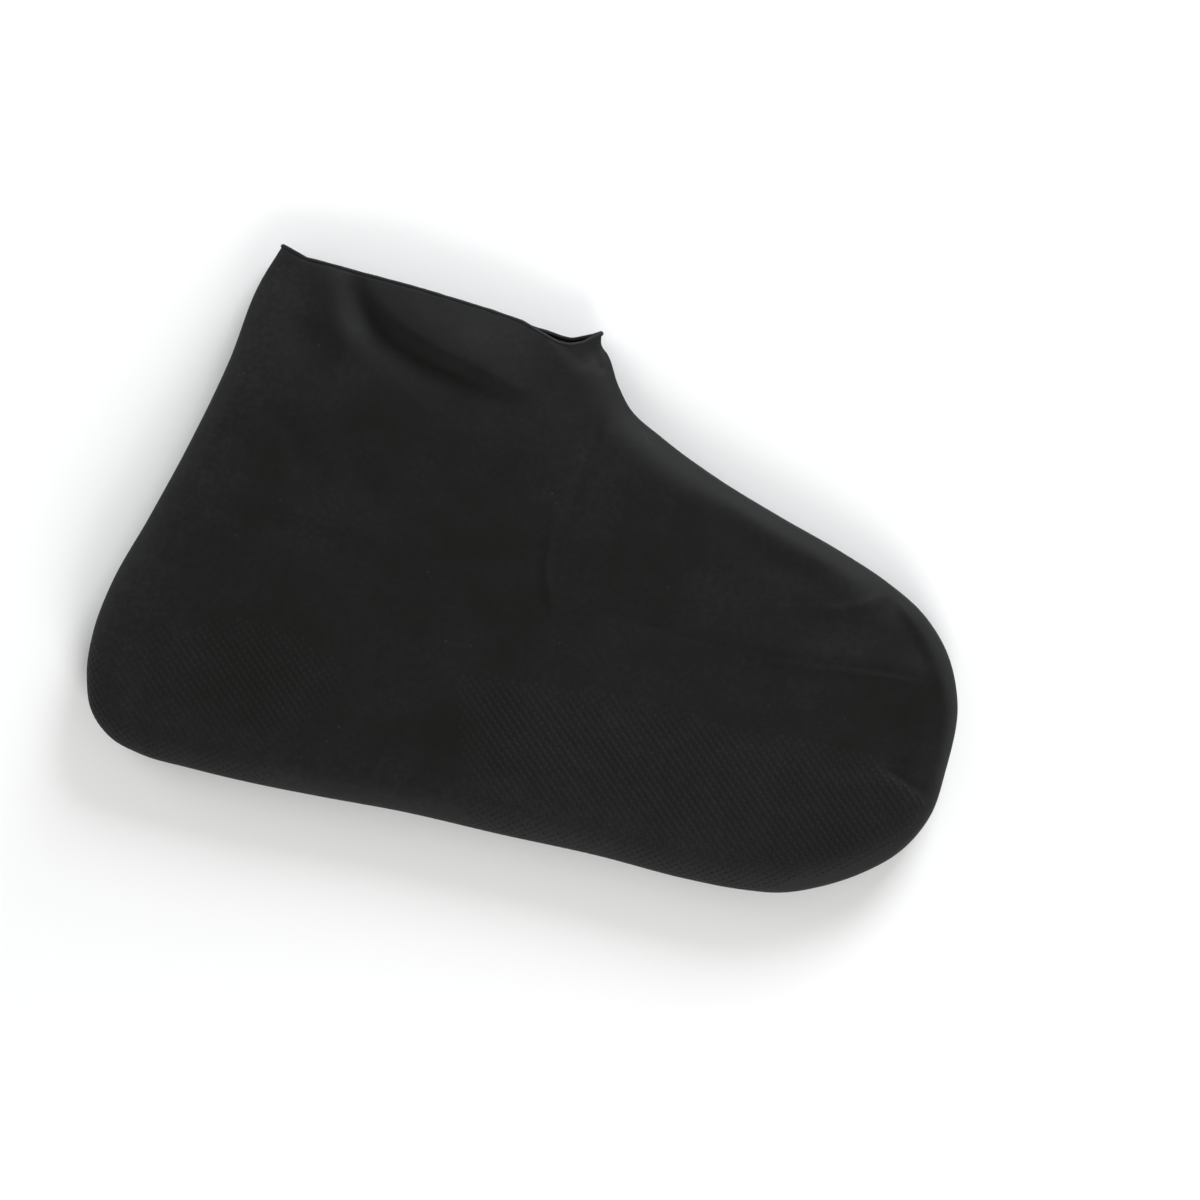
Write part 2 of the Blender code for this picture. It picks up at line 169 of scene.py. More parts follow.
def curveThrough(knots, travelled):
    # cubic pieces through the knots, read at distances along them; each knot's slope is its neighbours' mean
    steps = np.linalg.norm(np.diff(knots, axis=0), axis=1)
    reach = np.concatenate([[0.0], np.cumsum(steps)])
    slopes = np.gradient(knots, reach, axis=0)
    travelled = np.clip(travelled, 0.0, reach[-1])
    span = np.clip(np.searchsorted(reach, travelled, side="right") - 1, 0, len(steps) - 1)
    length = steps[span][..., None]
    part = (travelled - reach[span])[..., None] / length
    leaving = (1 + 2 * part) * knots[span] + part * slopes[span] * length
    arriving = (3 - 2 * part) * knots[span + 1] + (part - 1) * slopes[span + 1] * length
    return leaving * (1 - part) ** 2 + arriving * part**2


def nearestOnRun(places, run):
    # distance from each place to a run of short steps, the share of the run reached, and the side it is on
    starts = run[:-1]
    steps = run[1:] - starts
    lengths = (steps**2).sum(-1)
    parts = []
    for block in np.array_split(places.reshape(-1, 2), max(1, places.size // 8000)):
        offsets = block[:, None] - starts
        share = np.clip((offsets * steps).sum(-1) / lengths, 0.0, 1.0)
        gaps = offsets - share[..., None] * steps
        distance = np.linalg.norm(gaps, axis=-1)
        best = distance.argmin(-1)
        pick = np.arange(len(block)), best
        turn = steps[best, 0] * gaps[pick][:, 1] - steps[best, 1] * gaps[pick][:, 0]
        parts.append(np.stack([distance[pick], (best + share[pick]) / len(steps), np.sign(turn)], -1))
    found = np.concatenate(parts).reshape(*places.shape[:-1], 3)
    return found[..., 0], found[..., 1], found[..., 2]


outlineBase = placed(outlineKnots)
outlineLength = runLength(outlineBase)
outlineRun = curveThrough(outlineBase, np.linspace(0, outlineLength, 420))


def edgeSpread(reach):  # places over a folded edge, crowded at the very edge where it turns fastest
    turn = np.linspace(0.0, np.pi / 2, shell["edgeSteps"] + 1)
    return reach * (1 - np.cos(turn))


def footStations():  # section numbers of the grid's rows, evenly spaced after the toe's folded edge
    fine = np.linspace(0, len(crossings) - 1, 900)
    ends = [np.interp(fine, np.arange(len(crossings)), column) for column in np.transpose(crossings)]
    steps = [np.linalg.norm(np.diff(curveThrough(outlineBase, end * outlineLength), axis=0), axis=1)
             for end in ends]
    pull = shell["frontPull"]
    travelled = np.concatenate([[0.0], np.cumsum(pull * steps[0] + (1 - pull) * steps[1])])
    edge = edgeSpread(shell["foldReach"])
    rest = np.linspace(edge[-1], travelled[-1], shell["footSteps"] + 1)
    return np.interp(np.concatenate([edge[:-1], rest]), travelled, fine)


def planGrid():
    # flat place of every grid point: straight from the front edge to the back edge, the first rows bent
    # round the toe
    stations = footStations()
    numbers = np.arange(len(crossings))
    frontAt, backAt = (np.interp(stations, numbers, column) for column in np.transpose(crossings))
    front = curveThrough(outlineBase, frontAt * outlineLength)
    back = curveThrough(outlineBase, backAt * outlineLength)
    widths = np.linalg.norm(back - front, axis=1)
    edge = edgeSpread(1.0)[None] * (shell["foldReach"] / widths)[:, None]
    middle = edge[:, -1:] + (1 - 2 * edge[:, -1:]) * np.linspace(0, 1, shell["sideSteps"] + 1)
    shares = np.concatenate([edge[:, :-1], middle, 1 - edge[:, -2::-1]], axis=1)
    straight = front[:, None] + (back - front)[:, None] * shares[..., None]
    toeRun = frontAt[0] + (backAt[0] - frontAt[0]) * shares[0]
    bend = curveThrough(outlineBase, toeRun * outlineLength) - straight[0]
    fade = 1 - easeShare(stations / 2.0)
    return straight + bend * fade[:, None, None], shares


def foldRelief(plan):
    # each fold is a bell-shaped ridge or trough along its path, with its own width on either side
    relief = np.zeros(plan.shape[:-1])
    for path, leftWidth, rightWidth, rise in [*folds.values(), *creases.values()]:
        knots = placed(path)
        run = curveThrough(knots, np.linspace(0, runLength(knots), 30))
        distance, along, side = nearestOnRun(plan, run)
        across = distance / (np.where(side > 0, leftWidth, rightWidth) * shoeLength)
        ends = easeShare(np.minimum(along, 1 - along) / 0.3)
        relief += rise * shell["foldDepth"] * np.exp(-across**2) * ends
    return relief


def limpWaves(plan):  # slow uneven waves: a sum of sines in set directions
    random = np.random.default_rng(11)
    waves = np.zeros(plan.shape[:-1])
    for waveLength, share in ((0.062, 1.0), (0.041, 0.8), (0.027, 0.55), (0.017, 0.3), (0.011, 0.16)):
        for _ in range(3):
            turn, phase = random.uniform(0, np.pi), random.uniform(0, 2 * np.pi)
            run = plan[..., 0] * np.cos(turn) + plan[..., 1] * np.sin(turn)
            waves += share * np.sin(2 * np.pi * run / waveLength + phase) / 3
    return shell["limpness"] * waves


def rolledShare(depth):  # quarter ellipse: 0 at the outline, 1 where the folded edge ends
    return np.sqrt(1 - (1 - np.clip(depth / shell["foldReach"], 0.0, 1.0)) ** 2)


def upperHeight(plan, depth):
    up = (plan[..., 1] - middleY + shoeHeight / 2) / shoeHeight
    thin = np.clip((up - shell["ankleUp"]) / (1 - shell["ankleUp"]), 0.0, 1.0) ** 1.5
    thick = shell["footThickness"] + (shell["cuffThickness"] - shell["footThickness"]) * thin
    sag = shell["sagDepth"] * easeShare((depth - shell["foldReach"]) / (shell["sagReach"] - shell["foldReach"]))
    crown = thick - sag + foldRelief(plan) + limpWaves(plan)
    return shell["edgeHeight"] + (crown - shell["edgeHeight"]) * rolledShare(depth)


def lowerHeight(depth):
    return shell["edgeHeight"] * (1 - rolledShare(depth))


def hemDip(plan, shares, column):
    table = np.array(hem["dips"])
    dips = np.interp(shares, table[:, 0], table[:, column])
    below = np.linalg.norm(plan[-1] - plan, axis=-1)
    return hem["earHeight"] * dips * (1 - easeShare(below / hem["fade"]))


def layerGrids():
    plan, shares = planGrid()
    depth, along, _ = nearestOnRun(plan, outlineRun)
    depth[0] = depth[:, 0] = depth[:, -1] = 0.0
    # painted light: a paler band within reach of the sole and heel outline, for the light the rolled edges catch
    start, end = shell["paintedLightStart"], shell["paintedLightEnd"]
    paintedLight = (1 - easeShare(depth / shell["paintedLightReach"])) * easeShare((along - start) / (end - start))
    below = np.linalg.norm(plan[-1] - plan, axis=-1)
    lift = (hem["radius"] - hem["sunk"]) * (1 - easeShare(below / hem["liftFade"])) * rolledShare(depth)
    upperPlan, lowerPlan = plan.copy(), plan.copy()
    upperPlan[..., 1] -= hemDip(plan, shares, 1)
    lowerPlan[..., 1] -= hemDip(plan, shares, 2)
    upper = np.dstack([upperPlan, upperHeight(upperPlan, depth)])
    lower = np.dstack([lowerPlan, lowerHeight(depth) + lift])
    return upper, lower, paintedLight


def gridFaces(numbers):  # four corner numbers for each cell of a grid of point numbers
    return np.stack([numbers[:-1, :-1], numbers[1:, :-1], numbers[1:, 1:], numbers[:-1, 1:]], -1).reshape(-1, 4)


def meshPiece(name, points, faces, material):
    mesh = bpy.data.meshes.new(name)
    mesh.from_pydata(points.tolist(), [], [list(face) for face in faces])
    mesh.validate()
    mesh.shade_smooth()
    mesh.materials.append(material)
    piece = bpy.data.objects.new(name, mesh)
    bpy.context.scene.collection.objects.link(piece)
    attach(piece, "root")
    return piece


def buildShell(upper, lower, paintedLight, material, insideMaterial):
    # the lower layer has half as many columns, and shares the upper layer's points on the folded edge
    rows, columns = upper.shape[:2]
    upperNumbers = np.arange(rows * columns).reshape(rows, columns)
    sparse = lower[1:, 2:-2:2]
    lowerNumbers = np.concatenate([
        upperNumbers[1:, :1],
        rows * columns + np.arange(sparse[..., 0].size).reshape(rows - 1, -1),
        upperNumbers[1:, -1:],
    ], axis=1)
    points = np.concatenate([upper.reshape(-1, 3), sparse.reshape(-1, 3)])
    toe = upperNumbers[0]
    toeFaces = [
        (lowerNumbers[0, cell + 1], lowerNumbers[0, cell], toe[2 * cell], toe[2 * cell + 1], toe[2 * cell + 2])
        for cell in range(lowerNumbers.shape[1] - 1)
    ]
    faces = list(gridFaces(upperNumbers)) + list(gridFaces(lowerNumbers)[:, ::-1]) + toeFaces
    piece = meshPiece("rubber_shell", points, faces, material)
    piece.data.materials.append(insideMaterial)
    # the share of painted light on the sole and heel edges, kept on the points for the material
    paintedLightShare = np.concatenate([paintedLight.ravel(), paintedLight[1:, 2:-2:2].ravel()]).astype(np.float32)
    piece.data.attributes.new("edgePaintedLight", "FLOAT", "POINT").data.foreach_set("value", paintedLightShare)
    wall = piece.modifiers.new("wall", "SOLIDIFY")
    wall.material_offset = 1
    wall.thickness = shell["wall"]
    wall.offset = -1.0
    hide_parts("overshoe_shell")
    return piece


def buildHem(upper, lower, material):
    # a round profile carried along the closed loop of the mouth, in the middle of the wall's thickness,
    # its radius a little uneven
    loop = np.concatenate([upper[-1], lower[-1][-2:0:-1]])
    middle = (upper[-1][:, 2] + lower[-1][:, 2]) / 2
    middle = np.concatenate([middle, middle[-2:0:-1]])
    loop[:, 2] -= np.clip(loop[:, 2] - middle, -hem["sunk"], hem["sunk"])
    steps = np.linalg.norm(np.roll(loop, -1, axis=0) - loop, axis=1)
    reach = np.concatenate([[0.0], np.cumsum(steps)])
    closed = np.concatenate([loop, loop[:1]])
    even = np.linspace(0, reach[-1], 520, endpoint=False)
    path = np.stack([np.interp(even, reach, closed[:, axis]) for axis in range(3)], -1)
    for _ in range(3):
        path = (np.roll(path, 1, axis=0) + 2 * path + np.roll(path, -1, axis=0)) / 4
    along = np.roll(path, -1, axis=0) - np.roll(path, 1, axis=0)
    along /= np.linalg.norm(along, axis=1, keepdims=True)
    sideways = np.cross(along, [0.0, 0.0, 1.0])
    sideways /= np.linalg.norm(sideways, axis=1, keepdims=True) + 1e-9
    upwards = np.cross(sideways, along)
    turn = np.linspace(0, 2 * np.pi, hem["sides"], endpoint=False)
    share = even / reach[-1] * 2 * np.pi
    swell = 1 + hem["unevenness"] * (0.5 * np.sin(23 * share + 1.0) + 0.5 * np.sin(41 * share)
                                     * np.sin(7 * share))
    ring = sideways[:, None] * np.cos(turn)[None, :, None] + upwards[:, None] * np.sin(turn)[None, :, None]
    points = path[:, None] + hem["radius"] * swell[:, None, None] * ring
    numbers = np.arange(points[..., 0].size).reshape(points.shape[:2])
    numbers = np.concatenate([numbers, numbers[:1]], axis=0)
    numbers = np.concatenate([numbers, numbers[:, :1]], axis=1)
    return meshPiece("rolled_hem", points.reshape(-1, 3), gridFaces(numbers), material)


# the fine grip: small lozenge studs on two crossing sets of lines, under the heel and under the forefoot
grip = {
    "linePitch": 0.0020,
    "lineTurn": math.radians(43),
    "studLong": 0.00098,  # half length along the lines that run down towards the toe
    "studWide": 0.00073,
    "studHeight": 0.00009,
    "studSunk": 0.00005,
    "edgeFade": 0.0180,  # studs get lower this near the folded edge
    "edgeHeight": 0.35,  # share of the height left at the edge
    "patchFade": 0.0100,  # and this near the end of their patch
    "patchHeight": 0.25,
    "heelHeight": 0.50,  # the heel's studs against the forefoot's
    "roundness": 3.2,  # 2 is an ellipse, more is squarer
    "unevenness": 0.08,
    "heelPatch": ((-0.02, 0.190), (0.030, 0.215), (0.090, 0.262), (0.170, 0.300), (0.225, 0.300),
                  (0.290, 0.262), (0.300, 0.215), (0.262, 0.120), (0.236, -0.02), (-0.02, -0.02)),
    "forefootPatch": ((0.424, 0.290), (0.510, 0.305), (0.600, 0.316), (0.770, 0.310), (0.880, 0.318),
                      (0.962, 0.302), (0.986, 0.266), (0.975, 0.205), (0.945, 0.140), (0.900, 0.080),
                      (0.845, 0.040), (0.800, -0.02), (0.480, -0.02), (0.466, 0.080), (0.440, 0.200)),
}


def insidePatch(places, patch):  # even-odd rule: how many of the patch's sides lie to the right
    corners = placed(patch)
    ends = np.roll(corners, -1, axis=0)
    inside = np.zeros(len(places), bool)
    for (startX, startY), (endX, endY) in zip(corners, ends):
        spans = (startY > places[:, 1]) != (endY > places[:, 1])
        rise = endY - startY if endY != startY else 1e-12
        inside ^= spans & (places[:, 0] < (endX - startX) * (places[:, 1] - startY) / rise + startX)
    return inside


def edgeUnroll():  # distance travelled round the quarter ellipse of the folded edge at each plan depth
    turn = np.linspace(0, np.pi / 2, 60)
    depth = shell["foldReach"] * (1 - np.cos(turn))
    height = (shell["footThickness"] - shell["edgeHeight"]) * np.sin(turn)
    travelled = np.concatenate([[0.0], np.cumsum(np.hypot(np.diff(depth), np.diff(height)))])
    return travelled, depth


def studPlaces(patch, lowerSide):
    # lattice points in the patch; the flat pattern is wound round the folded edge, so near the outline
    # the distance along the surface is turned back into a distance in plan
    step = grip["linePitch"] / math.sin(2 * grip["lineTurn"])
    count = int(shoeLength / step)
    first, second = np.meshgrid(np.arange(-count, count), np.arange(-count, count))
    lattice = step * np.stack([(first + second) * math.cos(grip["lineTurn"]),
                               (first - second) * math.sin(grip["lineTurn"])], -1).reshape(-1, 2)
    lattice = lattice[insidePatch(lattice, patch)]
    distance, along, side = nearestOnRun(lattice, outlineRun)
    inwards = -side * distance  # the outline runs clockwise, so its inside is on the right
    travelled, depths = edgeUnroll()
    extra = travelled[-1] - shell["foldReach"]
    unrolled = inwards + extra
    keep = (unrolled > 0.0) & (inwards < 0.9)
    if lowerSide:
        keep = inwards > shell["foldReach"] * 0.5
    lattice, inwards, along, unrolled = lattice[keep], inwards[keep], along[keep], unrolled[keep]
    depth = inwards if lowerSide else np.where(unrolled < travelled[-1],
                                               np.interp(unrolled, travelled, depths), inwards)
    length = runLength(outlineRun)
    rim = curveThrough(outlineRun, along * length)
    ahead = curveThrough(outlineRun, along * length + 0.0005)
    tangent = (ahead - rim) / (np.linalg.norm(ahead - rim, axis=1, keepdims=True) + 1e-12)
    normal = np.stack([tangent[:, 1], -tangent[:, 0]], -1)
    wound = rim + normal * depth[:, None]
    near = inwards < shell["foldReach"]
    corners = placed([*patch, patch[0]])
    patchEnd, _, _ = nearestOnRun(lattice, corners)
    height = grip["patchHeight"] + (1 - grip["patchHeight"]) * easeShare(patchEnd / grip["patchFade"])
    return np.where(near[:, None], wound, lattice), depth, height


def surfaceFrames(places, depth, lowerSide):
    # point, normal and the lines' two directions on the surface, from small steps in x, y and depth
    step = 1e-5
    distance, along, side = nearestOnRun(places, outlineRun)
    length = runLength(outlineRun)
    ahead = curveThrough(outlineRun, along * length + 0.0005)
    behind = curveThrough(outlineRun, along * length - 0.0005)
    tangent = (ahead - behind) / (np.linalg.norm(ahead - behind, axis=1, keepdims=True) + 1e-12)
    inward = np.stack([tangent[:, 1], -tangent[:, 0]], -1)
    heightAt = (lambda plan, into: lowerHeight(into)) if lowerSide else upperHeight
    height = heightAt(places, depth)
    into = np.maximum(depth, 2e-5)
    rollSlope = (heightAt(places, into + step) - heightAt(places, into - step)) / (2 * step)
    slopes = [(heightAt(places + np.array(shift) * step, depth) - height) / step for shift in ((1, 0), (0, 1))]
    gradient = np.stack(slopes, -1) + inward * rollSlope[:, None]
    normal = np.column_stack([-gradient, np.ones(len(places))])
    normal /= np.linalg.norm(normal, axis=1, keepdims=True)
    flat = np.array([math.cos(grip["lineTurn"]), -math.sin(grip["lineTurn"])])
    alongEdge = np.column_stack([tangent, np.zeros(len(places))]) * (tangent @ flat)[:, None]
    overEdge = np.column_stack([inward, rollSlope])
    overEdge /= np.linalg.norm(overEdge, axis=1, keepdims=True)
    longWay = alongEdge + overEdge * (inward @ flat)[:, None]
    longWay -= normal * (longWay * normal).sum(-1, keepdims=True)
    longWay /= np.linalg.norm(longWay, axis=1, keepdims=True)
    if lowerSide:
        normal = -normal
    return np.column_stack([places, height]), normal, longWay, np.cross(normal, longWay)


def buildStuds(name, lowerSide, material):
    # each stud is a low rounded lozenge: a sunk base ring, a shoulder ring and a top point
    found = [studPlaces(grip[patch], lowerSide) for patch in ("heelPatch", "forefootPatch")]
    places, depth, share = (np.concatenate(kind) for kind in zip(*found))
    share[:len(found[0][1])] *= grip["heelHeight"]
    centres, normals, longWays, wideWays = surfaceFrames(places, depth, lowerSide)
    fade = share * (grip["edgeHeight"] + (1 - grip["edgeHeight"]) * easeShare(depth / grip["edgeFade"]))
    random = np.random.default_rng(5)
    size = 1 + grip["unevenness"] * random.uniform(-1, 1, len(places))
    corner = 2 ** (-1 / grip["roundness"])
    ring = np.array([(1, 0), (corner, corner), (0, 1), (-corner, corner), (-1, 0), (-corner, -corner),
                     (0, -1), (corner, -corner)])
    levels = ((1.0, -grip["studSunk"]), (0.62, grip["studHeight"] * 0.85))
    rings = []
    for reach, height in levels:
        across = (longWays[:, None] * (ring[:, 0] * grip["studLong"] * reach)[None, :, None]
                  + wideWays[:, None] * (ring[:, 1] * grip["studWide"] * reach)[None, :, None])
        lifted = height * (fade * size if height > 0 else np.ones(len(places)))
        rings.append(centres[:, None] + across * size[:, None, None] + normals[:, None] * lifted[:, None, None])
    top = centres + normals * (grip["studHeight"] * fade * size)[:, None]
    points = np.concatenate(rings + [top[:, None]], axis=1)
    turn = np.arange(8)
    after = (turn + 1) % 8
    sides = np.stack([turn, after, after + 8, turn + 8], -1)
    caps = np.stack([turn + 8, after + 8, np.full(8, 16)], -1)
    start = (np.arange(len(points)) * 17)[:, None, None]
    faces = list((sides + start).reshape(-1, 4)) + list((caps + start).reshape(-1, 3))
    faces += list((np.arange(8)[::-1] + start[:, 0]))
    return meshPiece(name, points.reshape(-1, 3), faces, material)


rubber = {
    "shellColor": (0.0073, 0.0073, 0.0067, 1.0),
    "bloomAndEdgeLightColor": (0.0174, 0.0176, 0.0184, 1.0),  # the faint grey bloom on the rubber, and the paler colour of the painted light on the sole and heel edges
    # the studs are painted paler than the shell: painted light that offsets the shade between them
    "studColor": (0.0094, 0.0094, 0.0090, 1.0),
    # the inside wall is painted about twice as pale as the outside: painted light lifting the shade inside the
    # mouth
    "insideColor": (0.0150, 0.0150, 0.0154, 1.0),
    "hemColor": (0.0110, 0.0110, 0.0112, 1.0),
    "specular": 0.08,
    "shellRoughness": 0.62,
    "hemRoughness": 0.55,
    "studRoughness": 0.64,
    # strength of the painted light: the paler band painted on the sole and heel edges
    "paintedLight": 0.52,
}


def newGroup(name, inputs, outputs):
    tree = bpy.data.node_groups.new(name, "ShaderNodeTree")
    for label, kind, value in inputs:
        socket = tree.interface.new_socket(label, in_out="INPUT", socket_type=kind)
        if value is not None:
            socket.default_value = value
    for label, kind in outputs:
        tree.interface.new_socket(label, in_out="OUTPUT", socket_type=kind)
    return tree, tree.nodes.new("NodeGroupInput"), tree.nodes.new("NodeGroupOutput")


def noiseNode(tree, vector, scale, detail, roughness=0.5):
    node = tree.nodes.new("ShaderNodeTexNoise")
    node.inputs["Scale"].default_value = scale
    node.inputs["Detail"].default_value = detail
    node.inputs["Roughness"].default_value = roughness
    tree.links.new(vector, node.inputs["Vector"])
    return node.outputs["Fac"]


def mathNode(tree, operation, *values):
    node = tree.nodes.new("ShaderNodeMath")
    node.operation = operation
    for socket, value in zip(node.inputs, values):
        if isinstance(value, (int, float)):
            socket.default_value = value
        else:
            tree.links.new(value, socket)
    return node.outputs[0]


def rangeNode(tree, value, low, high, toLow=0.0, toHigh=1.0):
    node = tree.nodes.new("ShaderNodeMapRange")
    node.interpolation_type = "SMOOTHSTEP"
    for label, number in (("From Min", low), ("From Max", high), ("To Min", toLow), ("To Max", toHigh)):
        node.inputs[label].default_value = number
    tree.links.new(value, node.inputs["Value"])
    return node.outputs["Result"]


def mixColor(tree, share, first, second):
    node = tree.nodes.new("ShaderNodeMix")
    node.data_type = "RGBA"
    tree.links.new(share, node.inputs["Factor"])
    tree.links.new(first, node.inputs[6])
    tree.links.new(second, node.inputs[7])
    return node.outputs[2]


def bloomAndEdgeLightGroup():  # slow cloudy patches of bloom, with a finer speckle inside them, and a speckled band of painted light on the sole and heel edges
    tree, given, result = newGroup(
        "rubber bloom",
        (("Vector", "NodeSocketVector", None), ("Color", "NodeSocketColor", None),
         ("BloomAndEdgeLight", "NodeSocketColor", None), ("Amount", "NodeSocketFloat", 0.5),
         ("PaintedLight", "NodeSocketFloat", 0.0), ("Roughness", "NodeSocketFloat", 0.5)),
        (("Color", "NodeSocketColor"), ("Roughness", "NodeSocketFloat"), ("Mask", "NodeSocketFloat")))
    clouds = rangeNode(tree, noiseNode(tree, given.outputs["Vector"], 34, 5, 0.6), 0.22, 0.80)
    speckle = rangeNode(tree, noiseNode(tree, given.outputs["Vector"], 520, 4, 0.7), 0.34, 0.70, 0.35, 1.0)
    mask = mathNode(tree, "MULTIPLY", mathNode(tree, "MULTIPLY", clouds, speckle), given.outputs["Amount"])
    # painted light: the edge share, times the speckle, pales the sole and heel edges
    mask = mathNode(tree, "MULTIPLY_ADD", speckle, given.outputs["PaintedLight"], mask)
    tree.links.new(mixColor(tree, mask, given.outputs["Color"], given.outputs["BloomAndEdgeLight"]),
                   result.inputs["Color"])
    rough = mathNode(tree, "MULTIPLY_ADD", mask, 0.14, given.outputs["Roughness"])
    tree.links.new(rough, result.inputs["Roughness"])
    tree.links.new(mask, result.inputs["Mask"])
    return tree


def grainGroup():  # the skin of dipped rubber: fine pebbling over softer ripples, given as a height
    tree, given, result = newGroup(
        "dipped skin",
        (("Vector", "NodeSocketVector", None), ("Pebble", "NodeSocketFloat", 1.0),
         ("Ripple", "NodeSocketFloat", 1.0)),
        (("Height", "NodeSocketFloat"),))
    pebble = noiseNode(tree, given.outputs["Vector"], 2600, 2, 0.5)
    ripple = noiseNode(tree, given.outputs["Vector"], 170, 3, 0.5)
    total = mathNode(tree, "ADD", mathNode(tree, "MULTIPLY", pebble, given.outputs["Pebble"]),
                     mathNode(tree, "MULTIPLY", ripple, given.outputs["Ripple"]))
    tree.links.new(total, result.inputs["Height"])
    return tree


def dustGroup():  # a few pale specks of dust, where small cells lie close to their centres
    tree, given, result = newGroup(
        "dust specks",
        (("Vector", "NodeSocketVector", None), ("Color", "NodeSocketColor", None),
         ("Amount", "NodeSocketFloat", 0.3)),
        (("Color", "NodeSocketColor"),))
    cells = tree.nodes.new("ShaderNodeTexVoronoi")
    cells.inputs["Scale"].default_value = 260
    tree.links.new(given.outputs["Vector"], cells.inputs["Vector"])
    near = rangeNode(tree, cells.outputs["Distance"], 0.05, 0.14, 1.0, 0.0)
    chosen = rangeNode(tree, noiseNode(tree, given.outputs["Vector"], 60, 1), 0.60, 0.66)
    mask = mathNode(tree, "MULTIPLY", mathNode(tree, "MULTIPLY", near, chosen), given.outputs["Amount"])
    dust = tree.nodes.new("ShaderNodeRGB")
    dust.outputs[0].default_value = (0.10, 0.10, 0.10, 1.0)
    tree.links.new(mixColor(tree, mask, given.outputs["Color"], dust.outputs[0]), result.inputs["Color"])
    return tree


groups = {"bloomAndEdgeLight": bloomAndEdgeLightGroup(), "grain": grainGroup(), "dust": dustGroup()}


def groupNode(tree, name, links, values):
    node = tree.nodes.new("ShaderNodeGroup")
    node.node_tree = groups[name]
    for label, source in links.items():
        tree.links.new(source, node.inputs[label])
    for label, value in values.items():
        node.inputs[label].default_value = value
    return node


def rubberMaterial(name, color, roughness, bloomAmount, pebble, ripple):
    material = bpy.data.materials.new(name)
    material.use_nodes = True
    tree = material.node_tree
    shader = tree.nodes["Principled BSDF"]
    place = tree.nodes.new("ShaderNodeTexCoord").outputs["Object"]
    bloomAndEdgeLight = groupNode(tree, "bloomAndEdgeLight", {"Vector": place},
                      {"Color": color, "BloomAndEdgeLight": rubber["bloomAndEdgeLightColor"], "Amount": bloomAmount,
                       "Roughness": roughness})
    # the painted light on the sole and heel edges, read from the shell's points
    paintedLightShare = tree.nodes.new("ShaderNodeAttribute")
    paintedLightShare.attribute_name = "edgePaintedLight"
    tree.links.new(mathNode(tree, "MULTIPLY", paintedLightShare.outputs["Fac"], rubber["paintedLight"]), bloomAndEdgeLight.inputs["PaintedLight"])
    dust = groupNode(tree, "dust", {"Vector": place, "Color": bloomAndEdgeLight.outputs["Color"]}, {"Amount": 0.12})
    grain = groupNode(tree, "grain", {"Vector": place}, {"Pebble": pebble, "Ripple": ripple})
    bump = tree.nodes.new("ShaderNodeBump")
    bump.inputs["Distance"].default_value = 0.001
    bump.inputs["Strength"].default_value = 1.0
    tree.links.new(grain.outputs["Height"], bump.inputs["Height"])
    tree.links.new(dust.outputs["Color"], shader.inputs["Base Color"])
    tree.links.new(bloomAndEdgeLight.outputs["Roughness"], shader.inputs["Roughness"])
    tree.links.new(bump.outputs["Normal"], shader.inputs["Normal"])
    shader.inputs["Specular IOR Level"].default_value = rubber["specular"]
    shader.inputs["Metallic"].default_value = 0.0
    return material


view = {
    "turn": math.radians(13),  # the picture is turned this far against the sole
    "aim": (0.0183, -0.0032, 0.006),
    "lens": 85.0,
    "frameWidth": 0.3905,  # width of the picture at the aim's height
    "floorSize": 12.0,
    "floorColor": (0.93, 0.93, 0.93, 1.0),
    "roomSides": 2.20,  # strength of the white room level with the floor
    "roomTop": 0.30,  # and straight above
    "sideTint": (0.88, 0.92, 1.0, 1.0),
    "topTint": (1.0, 0.985, 0.84, 1.0),
    # softboxes: power, size, compass turn from the picture's right and height above the floor in degrees
    "key": (20.5, 0.60, 63.0, 18.0),
    "side": (3.2, 0.60, 146.0, 24.0),
    "front": (10.5, 0.60, -74.0, 22.0),
    "lampDistance": 1.2,
    "lampTint": {"key": (0.94, 0.955, 1.0), "side": (0.97, 0.98, 1.0), "front": (1.0, 1.0, 1.0)},
}


def overheadCamera():
    camera = bpy.data.cameras.new("overheadCamera")
    camera.lens = view["lens"]
    camera.sensor_width = 36.0
    camera.clip_start = 0.01
    holder = bpy.data.objects.new("overheadCamera", camera)
    distance = view["frameWidth"] * view["lens"] / camera.sensor_width
    aimX, aimY, aimZ = view["aim"]
    holder.location = (aimX, aimY, aimZ + distance)
    holder.rotation_euler = (0.0, 0.0, view["turn"])
    bpy.context.scene.collection.objects.link(holder)
    bpy.context.scene.camera = holder


def paleFloor():
    half = view["floorSize"] / 2
    mesh = bpy.data.meshes.new("floor")
    mesh.from_pydata([(-half, -half, 0), (half, -half, 0), (half, half, 0), (-half, half, 0)], [], [(0, 1, 2, 3)])
    material = bpy.data.materials.new("paleFloor")
    material.use_nodes = True
    shader = material.node_tree.nodes["Principled BSDF"]
    shader.inputs["Base Color"].default_value = view["floorColor"]
    shader.inputs["Roughness"].default_value = 0.9
    shader.inputs["Specular IOR Level"].default_value = 0.1
    mesh.materials.append(material)
    floor = bpy.data.objects.new("floor", mesh)
    floor.location.z = -0.0002
    bpy.context.scene.collection.objects.link(floor)


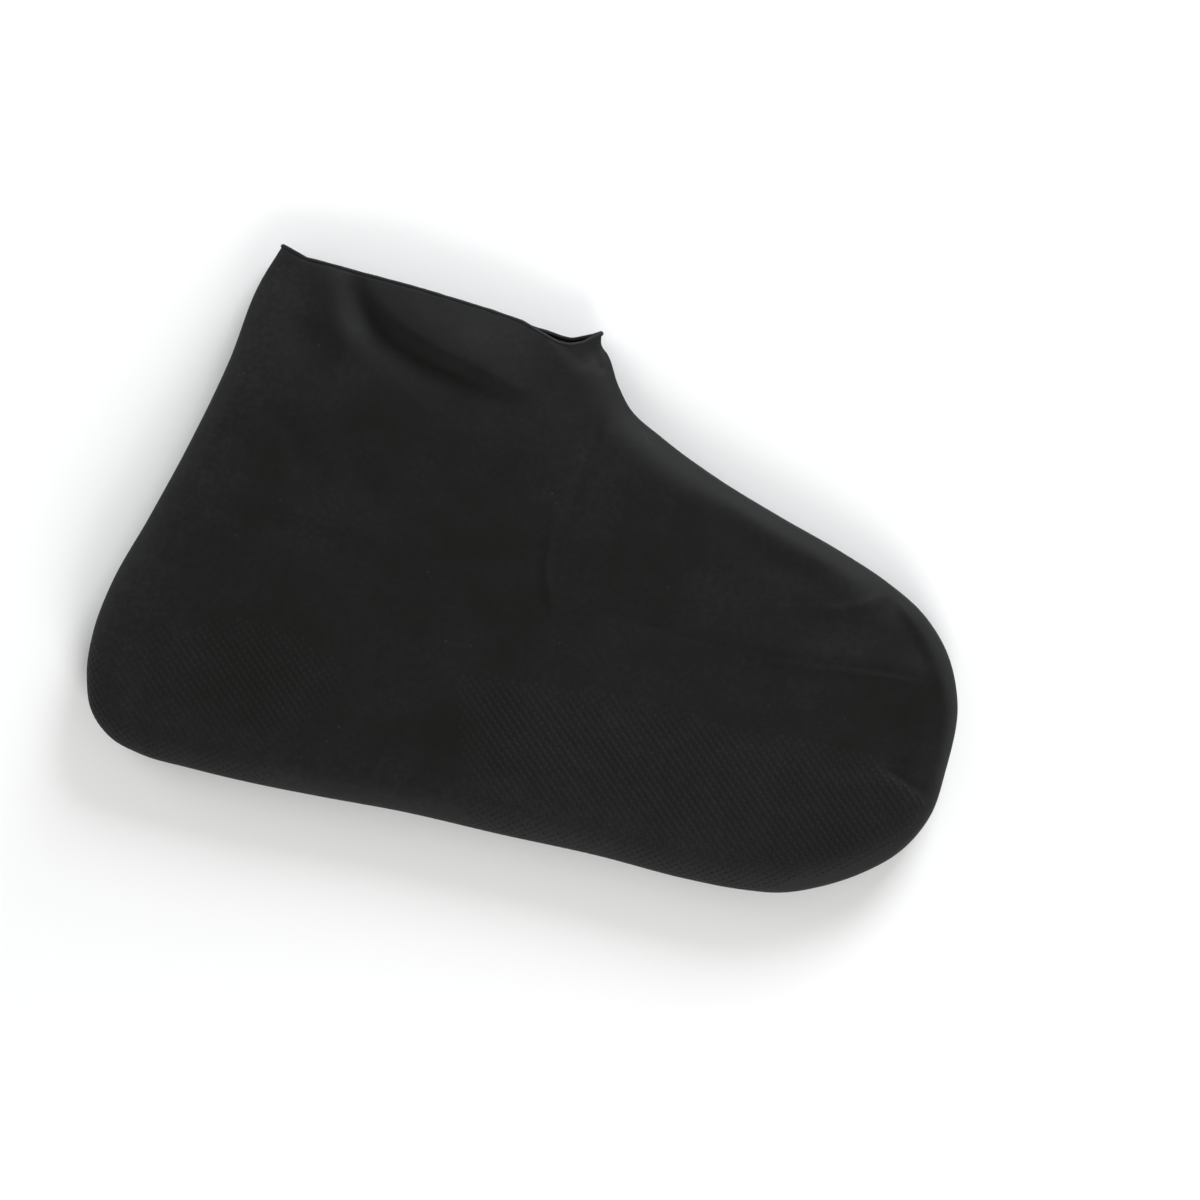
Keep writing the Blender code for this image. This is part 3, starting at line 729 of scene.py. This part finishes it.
def softLight(name):
    power, size, turn, rise = view[name]
    distance = view["lampDistance"]
    lamp = bpy.data.lights.new(name, "AREA")
    lamp.energy = power
    lamp.color = view["lampTint"][name]
    lamp.size = size
    holder = bpy.data.objects.new(name, lamp)
    around = math.radians(turn) + view["turn"]
    up = math.radians(rise)
    aimX, aimY, _ = view["aim"]
    holder.location = (aimX + distance * math.cos(up) * math.cos(around),
                       aimY + distance * math.cos(up) * math.sin(around), distance * math.sin(up))
    holder.rotation_euler = (0.0, math.pi / 2 - up, around)
    bpy.context.scene.collection.objects.link(holder)


def whiteRoom():  # white all round, dimmer straight above, where the camera hangs
    world = bpy.data.worlds.new("whiteRoom")
    world.use_nodes = True
    tree = world.node_tree
    place = tree.nodes.new("ShaderNodeTexCoord").outputs["Generated"]
    split = tree.nodes.new("ShaderNodeSeparateXYZ")
    tree.links.new(place, split.inputs[0])
    strength = rangeNode(tree, split.outputs["Z"], 0.0, 0.6, view["roomSides"], view["roomTop"])
    background = tree.nodes["Background"]
    tint = tree.nodes.new("ShaderNodeMix")
    tint.data_type = "RGBA"
    tint.inputs[6].default_value = view["sideTint"]
    tint.inputs[7].default_value = view["topTint"]
    tree.links.new(split.outputs["Z"], tint.inputs["Factor"])
    tree.links.new(tint.outputs[2], background.inputs["Color"])
    tree.links.new(strength, background.inputs["Strength"])
    bpy.context.scene.world = world
    bpy.context.scene.view_settings.view_transform = "Standard"


overheadCamera()
paleFloor()
whiteRoom()
softLight("key")
softLight("side")
softLight("front")
print("camera, floor and lights are set")

shellMaterial = rubberMaterial("shellRubber", rubber["shellColor"], rubber["shellRoughness"], 0.60, 0.016, 0.07)
insideMaterial = rubberMaterial("insideRubber", rubber["insideColor"], rubber["hemRoughness"], 0.15, 0.010, 0.03)
hemMaterial = rubberMaterial("hemRubber", rubber["hemColor"], rubber["hemRoughness"], 0.65, 0.010, 0.04)
studMaterial = rubberMaterial("studRubber", rubber["studColor"], rubber["studRoughness"], 0.75, 0.012, 0.03)
print("rubber materials made:", len(groups), "shared groups")

upperLayer, lowerLayer, edgePaintedLight = layerGrids()
shellPiece = buildShell(upperLayer, lowerLayer, edgePaintedLight, shellMaterial, insideMaterial)
print("shell:", len(shellPiece.data.polygons), "faces on its outside")
hemPiece = buildHem(upperLayer, lowerLayer, hemMaterial)
print("hem:", len(hemPiece.data.polygons), "faces")
for name, lowerSide in (("grip_studs_upper", False), ("grip_studs_lower", True)):
    studs = buildStuds(name, lowerSide, studMaterial)
    print(name + ":", len(studs.data.vertices) // 17, "studs")
